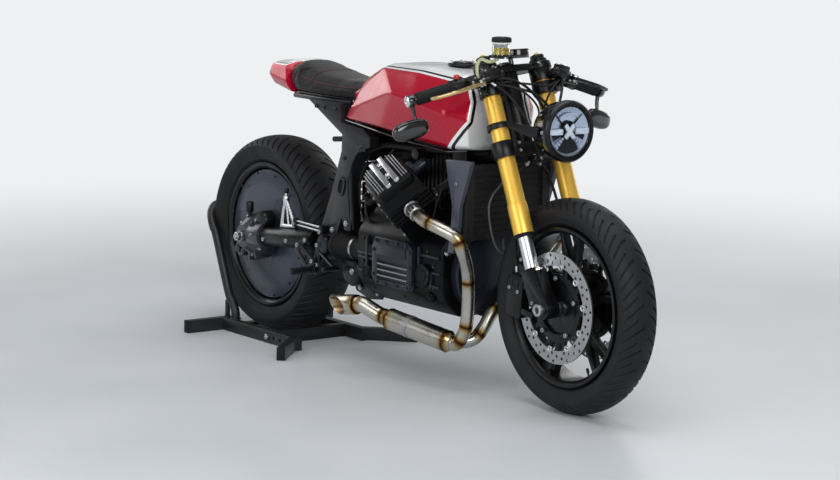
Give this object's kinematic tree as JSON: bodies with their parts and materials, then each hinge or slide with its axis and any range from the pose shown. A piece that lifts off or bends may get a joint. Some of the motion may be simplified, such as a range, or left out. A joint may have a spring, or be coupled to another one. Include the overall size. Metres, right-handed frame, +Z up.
{
  "type": "motorcycle",
  "caption": "Cafe racer motorcycle with low clip-on bars, a covered rear wheel and a short seat, held upright by a floor stand that cradles its rear tyre.",
  "frame": {"origin": "middle of the bounding box on the ground, under the bike", "axes": "+X forward, +Y to the rider's left, +Z up"},
  "size_m": [2.0983, 0.7956, 1.0304],
  "materials": {
    "tyre_rubber": "matt black tyre rubber",
    "wheel_black": "satin black coated alloy",
    "disc_steel": "ground brake steel",
    "cover_grey": "satin dark grey paint",
    "axle_steel": "plain steel",
    "fork_black": "black anodised",
    "slider_chrome": "hard chrome",
    "fork_gold": "gold anodised",
    "lamp_black": "gloss black paint",
    "lamp_glass": "clear lens",
    "grip_rubber": "matt black rubber",
    "control_black": "black moulded plastic",
    "mirror_black": "gloss black plastic",
    "lever_bronze": "bronze anodised",
    "pot_plastic": "clear plastic over yellow fluid",
    "frame_black": "satin black paint",
    "engine_black": "satin black engine paint",
    "engine_grey": "dark grey engine paint",
    "polished_alloy": "polished",
    "radiator_black": "matt black",
    "shroud_grey": "satin grey",
    "exhaust_steel": "stainless steel with heat tint",
    "tank_red": "gloss pearl red",
    "cap_black": "black anodised",
    "seat_suede": "black suede",
    "stand_black": "satin black coating"
  },
  "bodies": {
    "chassis": {"frame_spine": "frame_black", "frame_plates": "cover_grey", "subframe": "frame_black", "crankcase": "engine_black", "engine_covers": "engine_grey", "cylinders": "engine_black", "valve_covers": "engine_black", "valve_cover_ribs": "polished_alloy", "carburettors": "engine_black", "radiator": "radiator_black", "radiator_shrouds": "shroud_grey", "exhaust_headers": "exhaust_steel", "silencer": "exhaust_steel", "fuel_tank": "tank_red", "tank_cap": "cap_black", "seat_pan": "control_black", "seat_pad": "seat_suede", "tail_cowl": "tank_red", "swingarm": "frame_black", "final_drive": "engine_grey", "rear_axle": "axle_steel", "rear_shock": "fork_gold", "rearsets": "fork_black", "brake_arm": "polished_alloy", "stand": "stand_black"},
    "steering": {"front_axle": "axle_steel", "fork_feet": "fork_black", "fork_sliders": "slider_chrome", "fork_tubes": "fork_gold", "brake_calipers": "fork_black", "bottom_clamp": "fork_black", "top_clamp": "fork_black", "headlamp_shell": "lamp_black", "headlamp_lens": "lamp_glass", "headlamp_bracket": "fork_black", "handlebars": "fork_black", "grips": "grip_rubber", "controls": "control_black", "levers": "lever_bronze", "brake_reservoir": "pot_plastic", "mirrors": "mirror_black", "gauge": "control_black", "brake_hoses": "grip_rubber"},
    "front_wheel": {"front_tyre": "tyre_rubber", "front_rim": "wheel_black", "front_discs": "disc_steel", "disc_carriers": "wheel_black"},
    "rear_wheel": {"rear_tyre": "tyre_rubber", "rear_rim": "wheel_black", "rear_covers": "cover_grey"}
  },
  "joints": [
    {"name": "steering", "type": "hinge", "parent": "chassis", "child": "steering", "pos_m": [0.69586, 0, 0.27715], "axis": [-0.3939, 0, 0.9191], "range_deg": [-24, 24]},
    {"name": "front_wheel_axle", "type": "hinge", "parent": "steering", "child": "front_wheel", "pos_m": [0.74916, 0, 0.3], "axis": [0, 1, 0], "continuous": true},
    {"name": "rear_wheel_axle", "type": "hinge", "parent": "chassis", "child": "rear_wheel", "pos_m": [-0.71083, 0, 0.315], "axis": [0, 1, 0], "continuous": true}
  ]
}
